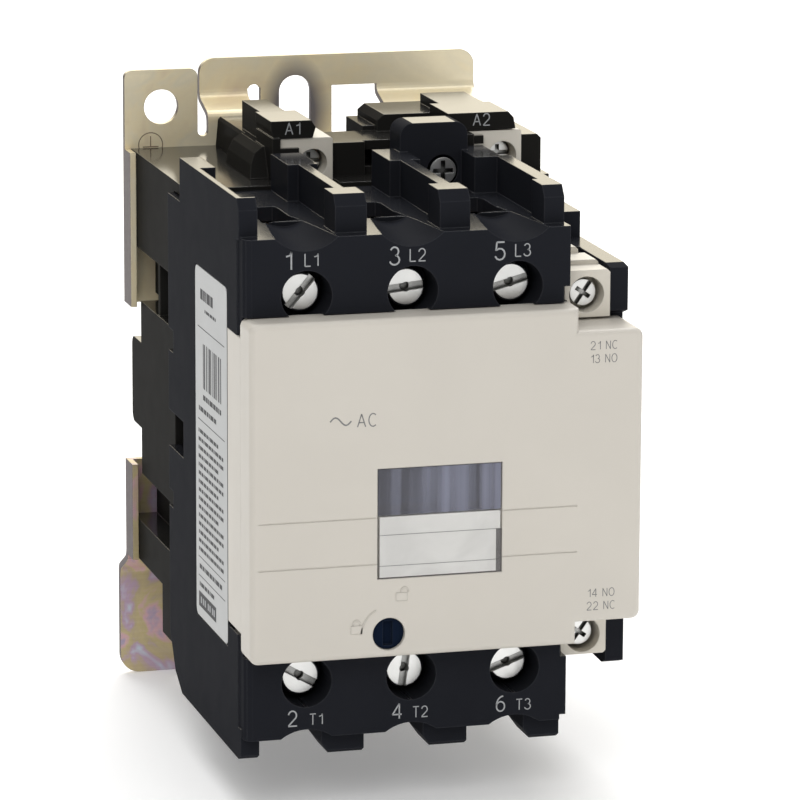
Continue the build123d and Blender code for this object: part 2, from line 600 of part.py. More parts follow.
def pole_housing():
    """Black housing of the three poles with terminals, barriers and arc chambers."""
    posts = [(-19.6, -13.7), (0.4, 6.4), (17.2, 22.6)]
    walls = [(-17.5, -15.6), (2.5, 4.8), (21.7, 24.4)]
    tabs = [(-19.3, -13.3), (0.6, 6.4), (20.6, 24.5)]
    feet = [(-22.0, -13.8), (-2.3, 6.2), (17.3, 24.3)]
    with BuildPart() as housing:
        block((-SIDE, POWER_RIGHT), (HOUSING_FRONT, HOUSING_REAR), (POWER_BOTTOM, POWER_TOP))
        block((POWER_RIGHT - 1, SIDE), (-74.0, HOUSING_REAR), (-42.9, 42.9))
        for side in (1, -1):
            terminal_row(side)
        side_wall()
        block((-SIDE - 1, POWER_RIGHT + 1), (COVER_SEAM - 1, ARC_COVER_REAR), (-28.3, 28.3),
              mode=Mode.SUBTRACT)
        for x in POLE_X:
            block((x - 8.1, x + 8.1), (ARC_COVER_REAR - 1, DECK_FRONT), (-27.0, 27.0),
                  mode=Mode.SUBTRACT)
            block((x - 5.4, x + 5.4), (DECK_FRONT - 1, DECK_REAR + 1), (-6.4, 6.4),
                  mode=Mode.SUBTRACT)
        block((-31.0, 31.0), (DECK_REAR, HOUSING_REAR + 1), (-22.6, 22.6), mode=Mode.SUBTRACT)
        block((34.5, SIDE), (HOUSING_REAR - 1, SKIRT_REAR), (-41.0, 42.9))
        for side in (1, -1):
            for post, wall, tab in zip(posts, walls, tabs if side > 0 else feet):
                barrier(post, wall, tab, side)
            end_tab((-SIDE, -33.9), -103.0 if side > 0 else -94.0, side)
        for foot in feet:
            foot_corner(foot)
        rounded_xz((4.9, 18.4), (45.0, 59.2), 2.5, (-62.0, -54.6))
        block((4.0, 19.0), (HOUSING_REAR, -54.0), (44.0, BASE_TOP + 0.4), mode=Mode.SUBTRACT)
        bore_y(13.4, 49.8, 3.1, (-63.0, -60.4))
        bore_y(13.4, 49.8, 1.75, (-63.0, -54.0))
        for x in (-15.45, 4.65):
            bore_y(x, -42.0, 1.2, (-70.0, HOUSING_REAR + 1))
        for low, high, deep in ((-4.6, 2.6, -60.0), (14.4, 18.8, -51.6), (-16.6, -13.2, -51.0)):
            block((-SIDE - 1, -34.0), (deep, SKIRT_REAR + 1), (low, high), mode=Mode.SUBTRACT)
        block((-SIDE - 1, -SIDE + 0.15), (-96.1, -70.4), (-32.6, 35.8), mode=Mode.SUBTRACT)
    save(housing, "pole_housing")


def rating_label():
    """Self-adhesive label let into the left side of the pole housing."""
    with BuildPart() as label:
        with BuildSketch(Plane.YZ.offset(-SIDE)):
            with Locations((-83.25, 1.6)):
                RectangleRounded(25.4, 68.0, 1.5)
        extrude(amount=0.15)
    save(label, "rating_label")


def housing_screws():
    """Screws that hold the pole housing to the magnet base, and the plates to the base."""
    with BuildPart() as screws:
        bore_y(13.4, 49.8, 2.6, (-62.4, -60.4), mode=Mode.ADD)
        bore_y(13.4, 49.8, 1.5, (-60.5, -46.0), mode=Mode.ADD)
        block((11.4, 15.4), (-63.0, -61.0), (49.35, 50.25), mode=Mode.SUBTRACT)
        block((12.95, 13.85), (-63.0, -61.0), (47.8, 51.8), mode=Mode.SUBTRACT)
        for x in (-15.45, 4.65):
            bore_y(x, -42.0, 2.6, (-35.0, -33.2), mode=Mode.ADD)
            bore_y(x, -42.0, 1.2, (-66.0, -34.9), mode=Mode.ADD)
            block((x - 3, x + 3), (-34.2, -33.0), (-42.35, -41.65), mode=Mode.SUBTRACT)
    save(screws, "housing_screws")
    with BuildPart() as rivets:
        for x in (-26.0, 26.0):
            for z in (38.0, -30.0):
                bore_y(x, z, 2.8, (-RAIL_DEPTH, -RAIL_DEPTH + 1.2), mode=Mode.ADD)
                bore_y(x, z, 1.45, (-12.9, -RAIL_DEPTH + 0.1), mode=Mode.ADD)
    save(rivets, "plate_screws")


# ---- covers ---------------------------------------------------------------------------------------
def arc_cover():
    """Beige cover over the three arc chambers, seen as a strip on the left side."""
    y = (COVER_SEAM, ARC_COVER_REAR)
    with BuildPart() as cover:
        block((-SIDE, POWER_RIGHT - 0.1), y, (-28.3, 28.3))
        for x in POLE_X:
            block((x - 8.1, x + 8.1), (-104.7, ARC_COVER_REAR + 1), (-27.0, 27.0), mode=Mode.SUBTRACT)
            block((x - 5.4, x + 5.4), (-105.3, -104.0), (-6.4, 6.4), mode=Mode.SUBTRACT)
        block((-12.4, 9.4), (COVER_SEAM - 1, -101.4), (-4.3, 3.6), mode=Mode.SUBTRACT)
        block((-SIDE - 1, -36.1), (COVER_SEAM - 1, -96.0), (-30.0, -27.4), mode=Mode.SUBTRACT)
    save(cover, "arc_cover")


def front_cover():
    """Beige front cover with the window opening and the latch hole."""
    top = 32.1
    bottom = -31.8
    notch_top = 27.9
    notch_bottom = -27.6
    left = -SIDE
    right = SIDE
    notch = POWER_RIGHT + 0.1
    wall = 1.9
    inner_front = COVER_FRONT + wall
    with BuildPart() as cover:
        with BuildSketch(Plane.XZ.offset(-COVER_SEAM)):
            with BuildLine():
                Polyline((left, bottom), (notch, bottom), (notch, notch_bottom), (right, notch_bottom),
                         (right, notch_top), (notch, notch_top), (notch, top), (left, top), close=True)
            make_face()
        extrude(amount=COVER_SEAM - COVER_FRONT)
        block((notch, right), (COVER_SEAM, -101.0), (notch_bottom, notch_top))
        corner = cover.edges().filter_by(Axis.Y)
        outer = [e for e in corner if abs(abs(e.center().X) - SIDE) < 0.01]
        fillet(outer, radius=1.6)
        front_edges = cover.faces().sort_by(Axis.Y)[0].outer_wire().edges()
        fillet(front_edges, radius=1.1)
        block((left + wall, notch - wall), (inner_front, COVER_SEAM + 1),
              (bottom + wall, top - wall), mode=Mode.SUBTRACT)
        block((notch + wall, right - wall), (COVER_SEAM - 0.1, AUX_FRONT + 4),
              (notch_bottom + wall, notch_top - wall), mode=Mode.SUBTRACT)
        block((notch - wall - 1, right - wall), (inner_front, COVER_SEAM),
              (notch_bottom + wall, notch_top - wall), mode=Mode.SUBTRACT)
        block((-13.5, 10.4), (COVER_FRONT - 1, inner_front + 1), (-16.8, 4.1), mode=Mode.SUBTRACT)
        bore_y(-11.25, -27.3, 3.1, (COVER_FRONT - 1, inner_front + 1))
        for z in (-5.1, -13.9):
            block((-36.0, -13.0), (COVER_FRONT - 1, COVER_FRONT + 0.12), (z - 0.1, z + 0.1),
                  mode=Mode.SUBTRACT)
            block((10.0, POWER_RIGHT), (COVER_FRONT - 1, COVER_FRONT + 0.12), (z - 0.1, z + 0.1),
                  mode=Mode.SUBTRACT)
    save(cover, "front_cover")


def window_unit():
    """Status window over the flag, and the marker holder with its card."""
    with BuildPart() as window:
        block((-13.3, 10.2), (-113.7, -112.4), (-4.8, 3.9))
        block((-14.6, 11.5), (-112.1, -111.3), (-4.8, 5.0))
        block((-13.3, 10.2), (-112.5, -111.9), (-4.8, 3.9))
    save(window, "status_window")
    with BuildPart() as holder:
        block((-13.0, 10.1), (-113.8, -113.0), (-16.6, -5.1))
        block((-14.6, 11.5), (-112.1, -111.4), (-17.8, -15.3))
        block((-14.6, 11.5), (-112.1, -111.4), (-6.6, -5.1))
        block((-13.0, 10.1), (-113.2, -111.0), (-16.6, -15.3))
        block((-13.0, 10.1), (-113.2, -111.4), (-6.6, -5.1))
        for x in (-13.0, 9.3):
            block((x, x + 0.8), (-113.2, -111.4), (-16.6, -5.1))
    save(holder, "marker_holder")
    with BuildPart() as card:
        block((-12.0, 9.2), (-113.0, -112.6), (-15.2, -6.7))
    save(card, "marker_card")


def cover_latch():
    """Quarter-turn latch: slotted disc, neck and an inner cam."""
    x = -11.25
    z = -27.3
    with BuildPart() as latch:
        bore_y(x, z, 3.0, (-113.2, -111.6), mode=Mode.ADD)
        block((x - 0.9, x + 0.9), (-114.0, -112.4), (z - 2.3, z + 2.3), mode=Mode.SUBTRACT)
        bore_y(x, z, 1.6, (-111.7, -109.2), mode=Mode.ADD)
        block((x - 1.6, x + 1.6), (-111.7, -110.3), (z, z + 6.0))
    save(latch, "cover_latch")


# ---- auxiliary contact block ------------------------------------------------------------------------
def aux_housing():
    """Black auxiliary housing: outer side wall and an inner contact chamber."""
    with BuildPart() as housing:
        outline = [(AUX_FRONT, 29.4), (AUX_FRONT, 37.6), (-101.0, AUX_TOP), (AUX_REAR, AUX_TOP),
                   (AUX_REAR, -AUX_TOP), (-101.6, -39.0), (AUX_FRONT, -38.2), (AUX_FRONT, -29.4),
                   (-101.0, -28.4), (-101.0, 28.4)]
        slab_yz(outline, (34.0, SIDE))
        block((AUX_LEFT, 34.1), (-101.0, AUX_REAR), (-28.4, 28.4))
        block((AUX_LEFT, 34.1), (-84.2, AUX_REAR), (-AUX_TOP, AUX_TOP))
        block((26.6, 32.6), (-99.4, -76.0), (-26.0, 26.0), mode=Mode.SUBTRACT)
        for side in (1, -1):
            room = (min(side * 28.4, side * 36.6), max(side * 28.4, side * 36.6))
            block((27.4, 31.6), (-90.5, -82.6), room, mode=Mode.SUBTRACT)
            slot = (min(side * 25.0, side * 29.0), max(side * 25.0, side * 29.0))
            for y in AUX_STRIPS:
                block((28.0, 31.0), (y, y + 0.8), slot, mode=Mode.SUBTRACT)
    save(housing, "aux_housing")


def aux_terminals():
    """Cream terminal blocks at both ends of the auxiliary block, and their screws."""
    for row, side in (("upper", 1), ("lower", -1)):
        with BuildPart() as terminal:
            lift = 0.0 if side > 0 else -0.8
            steps = [(34.0, 37.3 + lift, AUX_FRONT, -98.4), (33.4, 38.2 + lift, -98.5, -91.4),
                     (31.6, 39.4 + lift, -91.5, -84.2)]
            for right, top, front, rear in steps:
                outline = [(25.1, side * 28.4), (right, side * 28.4), (right, side * (top - 0.5)),
                           (right - 0.5, side * top), (25.1, side * top)]
                slab_xz(outline, (front, rear))
            bore_y(AUX_SCREW_X, side * AUX_SCREW_Z, 3.4, (AUX_FRONT - 1, -98.6))
            bore_y(AUX_SCREW_X, side * AUX_SCREW_Z, 1.7, (-99.0, -92.0))
            strip = (min(side * 28.0, side * 36.6), max(side * 28.0, side * 36.6))
            block((27.4, 31.6), (-92.5, -83.0), strip, mode=Mode.SUBTRACT)
        save(terminal, f"aux_terminal_block_{row}")
    with BuildPart() as screws:
        for side in (1, -1):
            z = side * AUX_SCREW_Z
            bore_y(AUX_SCREW_X, z, 2.5, (-101.6, -98.6), mode=Mode.ADD)
            bore_y(AUX_SCREW_X, z, 1.7, (-98.7, AUX_STRIPS[0]), mode=Mode.ADD)
            with BuildSketch(Plane.XZ.offset(100.6)):
                with Locations((AUX_SCREW_X, z)):
                    Rectangle(6.0, 0.8, rotation=55)
                    Rectangle(3.2, 0.8, rotation=-35)
            extrude(amount=2.0, mode=Mode.SUBTRACT)
    save(screws, "aux_screws")


def aux_contacts():
    """Fixed strips, moving slider and the two bridges of the auxiliary contacts."""
    with BuildPart() as strips:
        for side in (1, -1):
            low = min(side * 9.0, side * 36.2)
            high = max(side * 9.0, side * 36.2)
            for y in AUX_STRIPS:
                block((28.0, 31.0), (y, y + 0.8), (low, high))
    save(strips, "aux_fixed_contacts")
    with BuildPart() as slider:
        block((27.6, 31.4), (-96.0, -80.2), (-5.0, 5.0))
        for y in AUX_BRIDGES:
            block((28.0, 31.0), (y, y + 0.8), (-6.0, 6.0), mode=Mode.SUBTRACT)
    save(slider, "aux_slider")
    with BuildPart() as bridges:
        for y in AUX_BRIDGES:
            block((28.0, 31.0), (y, y + 0.8), (-14.0, 14.0))
    save(bridges, "aux_bridges")


upper_mounting_plate()
lower_mounting_plate()
rail_clip()
magnet_base()
coil_terminal_housing()
fixed_core()
coil()
coil_terminals()
armature()
contact_carrier()
moving_contacts()
power_terminals()
arc_plates()
pole_housing()
rating_label()
housing_screws()
arc_cover()
front_cover()
window_unit()
cover_latch()
aux_housing()
aux_terminals()
aux_contacts()
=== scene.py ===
"""Studio scene of a three-pole DIN-rail contactor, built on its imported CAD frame."""

import json
import math

import bpy
from mathutils import Matrix, Vector


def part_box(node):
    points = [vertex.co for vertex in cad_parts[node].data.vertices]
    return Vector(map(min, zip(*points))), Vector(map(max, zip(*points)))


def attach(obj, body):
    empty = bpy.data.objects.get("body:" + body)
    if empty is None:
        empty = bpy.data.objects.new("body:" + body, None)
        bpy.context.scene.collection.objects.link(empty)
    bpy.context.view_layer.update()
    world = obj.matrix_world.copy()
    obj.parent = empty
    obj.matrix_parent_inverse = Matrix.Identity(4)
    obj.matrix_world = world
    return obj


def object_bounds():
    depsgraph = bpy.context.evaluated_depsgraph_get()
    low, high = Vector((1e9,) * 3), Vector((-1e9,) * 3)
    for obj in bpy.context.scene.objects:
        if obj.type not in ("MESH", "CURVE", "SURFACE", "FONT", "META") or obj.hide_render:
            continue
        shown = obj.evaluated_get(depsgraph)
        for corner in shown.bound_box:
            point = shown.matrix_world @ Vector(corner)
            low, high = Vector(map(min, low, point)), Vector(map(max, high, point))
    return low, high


MM = 0.001
FRONT = Vector((0, -1, 0))
LEFT = Vector((-1, 0, 0))

# Planes of the CAD that carry print, as Y of the part's frame.
TERMINAL_FACE = -108.5 * MM
COIL_CAP_FACE = -52.4 * MM
EARTH_TAB_FACE = -9.0 * MM

# Print stands off its face by a lift, and has a thickness.
LIFT = 0.00001
RAISED_LIFT = 0.00002
REVERSE_LIFT = 0.00003
INK_THICK = 0.000016
RAISED_THICK = 0.00016

# Lettering, in shares of the letter height.
LETTER_GAP = 0.24
SPACE_WIDTH = 0.25

# Place in X and Z and reach of the darker ring round the plate's oval slot.
SLOT_DARK_RING = (-0.0005, 0.052, (0.0075, 0.0125))

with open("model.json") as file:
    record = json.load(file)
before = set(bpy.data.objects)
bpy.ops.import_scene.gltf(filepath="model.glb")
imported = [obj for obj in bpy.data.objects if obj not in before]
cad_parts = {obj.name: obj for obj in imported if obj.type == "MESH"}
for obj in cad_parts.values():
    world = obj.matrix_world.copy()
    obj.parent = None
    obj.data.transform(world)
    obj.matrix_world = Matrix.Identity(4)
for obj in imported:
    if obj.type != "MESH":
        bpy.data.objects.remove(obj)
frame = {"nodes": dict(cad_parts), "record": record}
cad_low, cad_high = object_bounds()
nodes = frame["nodes"]


# ---- node helpers ---------------------------------------------------------------------
def material(name):
    """A new node material; returns it with its tree and its Principled shader."""
    mat = bpy.data.materials.new(name)
    mat.use_nodes = True
    tree = mat.node_tree
    return mat, tree, tree.nodes["Principled BSDF"]


def coords(tree):
    """Object coordinates, which are the part's own frame in metres."""
    return tree.nodes.new("ShaderNodeTexCoord").outputs["Object"]


def stretched(tree, source, scale):
    """Coordinates scaled differently along each axis."""
    mapping = tree.nodes.new("ShaderNodeMapping")
    mapping.inputs["Scale"].default_value = scale
    tree.links.new(source, mapping.inputs["Vector"])
    return mapping.outputs["Vector"]


def noise(tree, source, scale, detail=3.0, roughness=0.5, distortion=0.0):
    """Factor output of a noise texture."""
    tex = tree.nodes.new("ShaderNodeTexNoise")
    tex.inputs["Scale"].default_value = scale
    tex.inputs["Detail"].default_value = detail
    tex.inputs["Roughness"].default_value = roughness
    tex.inputs["Distortion"].default_value = distortion
    tree.links.new(source, tex.inputs["Vector"])
    return tex.outputs["Fac"]


def ramp(tree, factor, stops):
    """Colour ramp over (position, colour) stops."""
    node = tree.nodes.new("ShaderNodeValToRGB")
    elements = node.color_ramp.elements
    while len(elements) < len(stops):
        elements.new(0.5)
    for element, (position, colour) in zip(elements, stops):
        element.position = position
        element.color = (*colour, 1.0)
    tree.links.new(factor, node.inputs["Fac"])
    return node.outputs["Color"]


def span(tree, factor, low, high):
    """Map a 0 to 1 factor onto low to high."""
    node = tree.nodes.new("ShaderNodeMapRange")
    node.inputs["To Min"].default_value = low
    node.inputs["To Max"].default_value = high
    tree.links.new(factor, node.inputs["Value"])
    return node.outputs["Result"]


def share(tree, value, zero, one):
    """Turn a value into a factor: 0 at zero, 1 at one, clamped."""
    node = tree.nodes.new("ShaderNodeMapRange")
    node.inputs["From Min"].default_value = zero
    node.inputs["From Max"].default_value = one
    tree.links.new(value, node.inputs["Value"])
    return node.outputs["Result"]


def blend(tree, factor, first, second):
    """Mix two colours, each a socket or a tuple, by a factor socket."""
    node = tree.nodes.new("ShaderNodeMix")
    node.data_type = "RGBA"
    tree.links.new(factor, node.inputs[0])
    for colour, socket in ((first, node.inputs[6]), (second, node.inputs[7])):
        if isinstance(colour, tuple):
            socket.default_value = (*colour, 1.0)
        else:
            tree.links.new(colour, socket)
    return node.outputs[2]


def edge_mask(tree, radius):
    """A mask, 1 on sharp edges and 0 on flats, and the bevelled normal it comes from."""
    bevel = tree.nodes.new("ShaderNodeBevel")
    bevel.samples = 4
    bevel.inputs["Radius"].default_value = radius
    flat = tree.nodes.new("ShaderNodeNewGeometry")
    dot = tree.nodes.new("ShaderNodeVectorMath")
    dot.operation = "DOT_PRODUCT"
    tree.links.new(bevel.outputs["Normal"], dot.inputs[0])
    tree.links.new(flat.outputs["True Normal"], dot.inputs[1])
    return share(tree, dot.outputs["Value"], 0.995, 0.80), bevel.outputs["Normal"]


def facing(tree, axis, low, high):
    """1 where the surface faces along an axis of the part, 0 where it does not."""
    flat = tree.nodes.new("ShaderNodeNewGeometry")
    dot = tree.nodes.new("ShaderNodeVectorMath")
    dot.operation = "DOT_PRODUCT"
    dot.inputs[1].default_value = axis
    tree.links.new(flat.outputs["Normal"], dot.inputs[0])
    return share(tree, dot.outputs["Value"], low, high)


def bump(tree, height, strength, distance, normal=None):
    """Bump normal from a height, on top of an optional normal."""
    node = tree.nodes.new("ShaderNodeBump")
    node.inputs["Strength"].default_value = strength
    node.inputs["Distance"].default_value = distance
    tree.links.new(height, node.inputs["Height"])
    if normal is not None:
        tree.links.new(normal, node.inputs["Normal"])
    return node.outputs["Normal"]


# ---- materials ------------------------------------------------------------------------
ROLLED = (0.93, 0.89, 0.76)
SPECKLED = (0.66, 0.57, 0.38)
SLOT_RING_TONE = (0.10, 0.10, 0.15)
PAINTED_LEFT_REFLECTION = (0.040, 0.026, 0.036)
CUT_EDGE = (0.16, 0.12, 0.10)
PAINTED_RECESS_SHADE = (0.05, 0.05, 0.045)


def plastic(name, colour, rough, grain, edge_highlight, round_mm=0.35, tint=0.06, polish=None):
    """Moulded plastic: faint tone changes, fine grain, and softened edges painted lighter, a
    painted highlight.

    polish is the specular level of the sides and the index of the faces that look up.
    """
    mat, tree, shader = material(name)
    place = coords(tree)
    cloudy = noise(tree, place, 38.0, 4.0, 0.55, 0.4)
    speck = noise(tree, place, 1900.0, 2.0, 0.6)
    dark = tuple(c * (1 - tint) for c in colour)
    light = tuple(min(1.0, c * (1 + tint)) for c in colour)
    body = ramp(tree, cloudy, ((0.3, dark), (0.7, light)))
    body = blend(tree, span(tree, speck, 0.0, 0.12), body, light)
    mask, soft = edge_mask(tree, round_mm * MM)
    # painted highlight: sharp edges are blended towards the lighter edge colour
    highlit_edges = blend(tree, span(tree, mask, 0.0, 0.55), body, edge_highlight)
    tree.links.new(highlit_edges, shader.inputs["Base Color"])
    patch = noise(tree, place, 160.0, 3.0, 0.6, 0.3)
    uneven = span(tree, patch, rough - 0.05, rough + 0.07)
    if polish:
        side_level, top_ior = polish
        up = facing(tree, (0, 0, 1), 0.997, 0.9995)
        tree.links.new(span(tree, up, side_level, 0.5), shader.inputs["Specular IOR Level"])
        tree.links.new(span(tree, up, 1.08, top_ior), shader.inputs["IOR"])
        smooth = tree.nodes.new("ShaderNodeMath")
        smooth.operation = "MULTIPLY"
        tree.links.new(uneven, smooth.inputs[0])
        tree.links.new(span(tree, up, 1.0, 0.42), smooth.inputs[1])
        uneven = smooth.outputs[0]
    tree.links.new(uneven, shader.inputs["Roughness"])
    normal = bump(tree, speck, grain, 0.00004, soft)
    tree.links.new(normal, shader.inputs["Normal"])
    return mat


def sheet_metal(name, stops, rough, roll, drift_scale=42.0, darkening=None):
    """Passivated zinc sheet: drifting interference colours and fine rolling lines.

    Its last argument is the place in X and Z and the reach of a darker ring round a punched slot.
    Faces that look to the left are painted darker, a painted reflection of the dark side of the
    room.
    """
    mat, tree, shader = material(name)
    place = coords(tree)
    drift = noise(tree, place, drift_scale, 3.0, 0.55, 1.6)
    lines = noise(tree, stretched(tree, place, roll), 1.0, 3.0, 0.6)
    fine = noise(tree, place, 900.0, 3.0, 0.6)
    film = ramp(tree, drift, stops)
    film = blend(tree, span(tree, lines, 0.0, 0.22), film, ROLLED)
    film = blend(tree, span(tree, fine, 0.0, 0.22), film, SPECKLED)
    if darkening:
        # the plate is blended towards a dark blue-grey within this ring round the slot
        slot_x, slot_z, (reach_x, reach_z) = darkening
        away = tree.nodes.new("ShaderNodeMapping")
        away.inputs["Location"].default_value = (-slot_x / reach_x, 0.0, -slot_z / reach_z)
        away.inputs["Scale"].default_value = (1 / reach_x, 0.0, 1 / reach_z)
        tree.links.new(place, away.inputs["Vector"])
        distance = tree.nodes.new("ShaderNodeVectorMath")
        distance.operation = "LENGTH"
        tree.links.new(away.outputs["Vector"], distance.inputs[0])
        ring_share = share(tree, distance.outputs["Value"], 1.0, 0.55)
        film = blend(tree, span(tree, ring_share, 0.0, 0.85), film, SLOT_RING_TONE)
    # painted reflection: faces that look left are painted dark and made less metallic
    side = facing(tree, (-1, 0, 0), 0.6, 0.95)
    film = blend(tree, span(tree, side, 0.0, 0.95), film, PAINTED_LEFT_REFLECTION)
    mask, soft = edge_mask(tree, 0.25 * MM)
    film = blend(tree, span(tree, mask, 0.0, 0.8), film, CUT_EDGE)
    tree.links.new(film, shader.inputs["Base Color"])
    tree.links.new(span(tree, side, 0.32, 0.03), shader.inputs["Metallic"])
    tree.links.new(span(tree, side, 1.5, 1.12), shader.inputs["IOR"])
    tree.links.new(span(tree, fine, rough - 0.05, rough + 0.10), shader.inputs["Roughness"])
    normal = bump(tree, lines, 0.08, 0.00002, soft)
    tree.links.new(normal, shader.inputs["Normal"])
    return mat


def bare_metal(name, colour, rough, scratch=(2600.0, 260.0, 900.0), tint=0.12, recess=None):
    """Turned, drawn or ground metal with fine marks and an uneven tone.

    recess is the depth, in metres, within which slots and corners are painted darker, a painted
    shade.
    """
    mat, tree, shader = material(name)
    place = coords(tree)
    marks = noise(tree, stretched(tree, place, scratch), 1.0, 4.0, 0.65)
    darkening = noise(tree, place, 210.0, 4.0, 0.6, 0.5)
    dull = tuple(c * (1 - tint) for c in colour)
    tone = ramp(tree, darkening, ((0.32, dull), (0.62, colour)))
    mask, soft = edge_mask(tree, 0.15 * MM)
    # painted highlight: sharp edges are painted 15% brighter
    highlight_tone = tuple(min(1.0, c * 1.15) for c in colour)
    tone = blend(tree, span(tree, mask, 0.0, 0.4), tone, highlight_tone)
    # painted shade: slots and corners within the recess depth are painted darker from the
    # occlusion node
    if recess:
        hollow = tree.nodes.new("ShaderNodeAmbientOcclusion")
        hollow.samples = 8
        hollow.inputs["Distance"].default_value = recess
        open_share = share(tree, hollow.outputs["AO"], 0.35, 0.90)
        tone = blend(tree, open_share, PAINTED_RECESS_SHADE, tone)
    tree.links.new(tone, shader.inputs["Base Color"])
    shader.inputs["Metallic"].default_value = 1.0
    tree.links.new(span(tree, marks, rough - 0.06, rough + 0.12), shader.inputs["Roughness"])
    tree.links.new(bump(tree, marks, 0.18, 0.00002, soft), shader.inputs["Normal"])
    return mat


def clear_plastic(name, colour, rough, cover, light=None, pull=(1.0, 1.0, 1.0)):
    """Clear moulded plastic with flow marks towards a lighter tone.

    cover is how much it hides, and pull scales the marks along each axis.
    """
    mat, tree, shader = material(name)
    place = coords(tree)
    flow = noise(tree, stretched(tree, place, pull), 90.0, 3.0, 0.5, 0.8)
    light = light or tuple(min(1.0, c * 1.08) for c in colour)
    tree.links.new(ramp(tree, flow, ((0.38, colour), (0.62, light))), shader.inputs["Base Color"])
    tree.links.new(span(tree, flow, rough, rough + 0.04), shader.inputs["Roughness"])
    tree.links.new(span(tree, flow, cover - 0.04, cover + 0.04), shader.inputs["Alpha"])
    tree.links.new(bump(tree, flow, 0.03, 0.0001), shader.inputs["Normal"])
    return mat


def printed(name, colour, rough=0.6):
    """Pad-printed ink with a slightly uneven coat."""
    mat, tree, shader = material(name)
    coat = noise(tree, coords(tree), 1500.0, 3.0, 0.6)
    thin = tuple(c * 0.88 for c in colour)
    tree.links.new(ramp(tree, coat, ((0.3, thin), (0.6, colour))), shader.inputs["Base Color"])
    tree.links.new(span(tree, coat, rough - 0.05, rough + 0.1), shader.inputs["Roughness"])
    return mat


GOLD = ((0.22, (0.52, 0.38, 0.42)), (0.32, (0.78, 0.63, 0.42)), (0.45, (0.90, 0.77, 0.50)),
        (0.58, (0.84, 0.75, 0.54)), (0.70, (0.94, 0.83, 0.58)), (0.84, (0.52, 0.46, 0.52)))
RAINBOW = ((0.30, (0.50, 0.58, 0.72)), (0.40, (0.42, 0.26, 0.44)), (0.48, (0.44, 0.34, 0.18)),
           (0.56, (0.50, 0.40, 0.17)), (0.64, (0.62, 0.34, 0.42)), (0.72, (0.34, 0.26, 0.46)))
SATIN = (0.04, 1.75)
POLISHED = (0.04, 2.3)
LATCH_GLOSS = (0.04, 1.5)
ROLLING = (60.0, 60.0, 1500.0)

# The last colour given to each plastic is the painted highlight on its sharp edges.
MATERIALS = {
    "black_plastic": plastic("black_plastic", (0.016, 0.017, 0.021), 0.36, 0.10,
                             (0.075, 0.077, 0.085), polish=SATIN),
    "grey_plastic": plastic("grey_plastic", (0.015, 0.0145, 0.0135), 0.30, 0.08,
                            (0.085, 0.082, 0.075), polish=POLISHED),
    "beige_plastic": plastic("beige_plastic", (0.60, 0.565, 0.505), 0.44, 0.16,
                             (0.68, 0.65, 0.59), 0.4, 0.02),
    "cream_plastic": plastic("cream_plastic", (0.66, 0.62, 0.54), 0.40, 0.10,
                             (0.76, 0.73, 0.66), 0.3, 0.03),
    "carrier_plastic": plastic("carrier_plastic", (0.42, 0.46, 0.56), 0.40, 0.10,
                               (0.55, 0.58, 0.66)),
    "bobbin_plastic": plastic("bobbin_plastic", (0.62, 0.60, 0.54), 0.45, 0.10,
                              (0.72, 0.70, 0.64)),
    "latch_plastic": plastic("latch_plastic", (0.007, 0.012, 0.026), 0.32, 0.08,
                             (0.04, 0.05, 0.07), polish=LATCH_GLOSS),
    "plated_sheet": sheet_metal("plated_sheet", GOLD, 0.30, ROLLING, darkening=SLOT_DARK_RING),
    "plated_foot": sheet_metal("plated_foot", RAINBOW, 0.30, ROLLING, 62.0),
    "screw_steel": bare_metal("screw_steel", (0.86, 0.86, 0.84), 0.30, (700.0, 90.0, 260.0),
                              0.06, recess=0.0016),
    "cage_steel": bare_metal("cage_steel", (0.80, 0.58, 0.36), 0.26),
    "spring_steel": bare_metal("spring_steel", (0.58, 0.58, 0.60), 0.30),
    "core_steel": bare_metal("core_steel", (0.45, 0.45, 0.46), 0.38, (60.0, 60.0, 1700.0)),
    "arc_steel": bare_metal("arc_steel", (0.52, 0.51, 0.50), 0.40),
    "copper": bare_metal("copper", (0.84, 0.52, 0.34), 0.30),
    "winding_wire": bare_metal("winding_wire", (0.55, 0.24, 0.12), 0.30, (60.0, 3300.0, 60.0)),
    "cushion_rubber": plastic("cushion_rubber", (0.016, 0.016, 0.016), 0.70, 0.20,
                              (0.05, 0.05, 0.05)),
    "clear_window": clear_plastic("clear_window", (0.09, 0.09, 0.11), 0.05, 0.62,
                                  (0.28, 0.29, 0.38), (2.4, 0.1, 0.05)),
    "clear_marker": clear_plastic("clear_marker", (0.90, 0.89, 0.86), 0.06, 0.62),
    "painted_edge_shade": clear_plastic("painted_edge_shade", (0.13, 0.12, 0.12), 0.10, 0.50),
    "card_white": printed("card_white", (0.84, 0.83, 0.80)),
    "label_film": plastic("label_film", (0.42, 0.43, 0.43), 0.38, 0.04, (0.48, 0.48, 0.48),
                          0.1, 0.02),
}
INK = {
    "white": printed("ink_white", (0.37, 0.38, 0.39)),
    "grey": printed("ink_grey", (0.20, 0.20, 0.20)),
    "black": printed("ink_black", (0.03, 0.03, 0.035)),
}


def dress_nodes():
    """Give every CAD node the finish of its slot; the foot and the clip are more iridescent."""
    for row in frame["record"]["subparts"]:
        name = row["node"]
        slot = row["material_slot"]
        if name in ("lower_mounting_plate", "rail_clip"):
            slot = "plated_foot"
        mesh = nodes[name].data
        mesh.materials.clear()
        mesh.materials.append(MATERIALS[slot])


# ---- lettering and markings -------------------------------------------------------------
def face_matrix(origin, normal, turn=0.0):
    """A frame on a face: local X along the reading direction, Z out of the face."""
    up = Vector((0, 0, 1))
    out = normal.normalized()
    right = up.cross(out).normalized()
    base = Matrix((right, up, out)).transposed().to_4x4()
    base.translation = origin
    return base @ Matrix.Rotation(turn, 4, "Z")


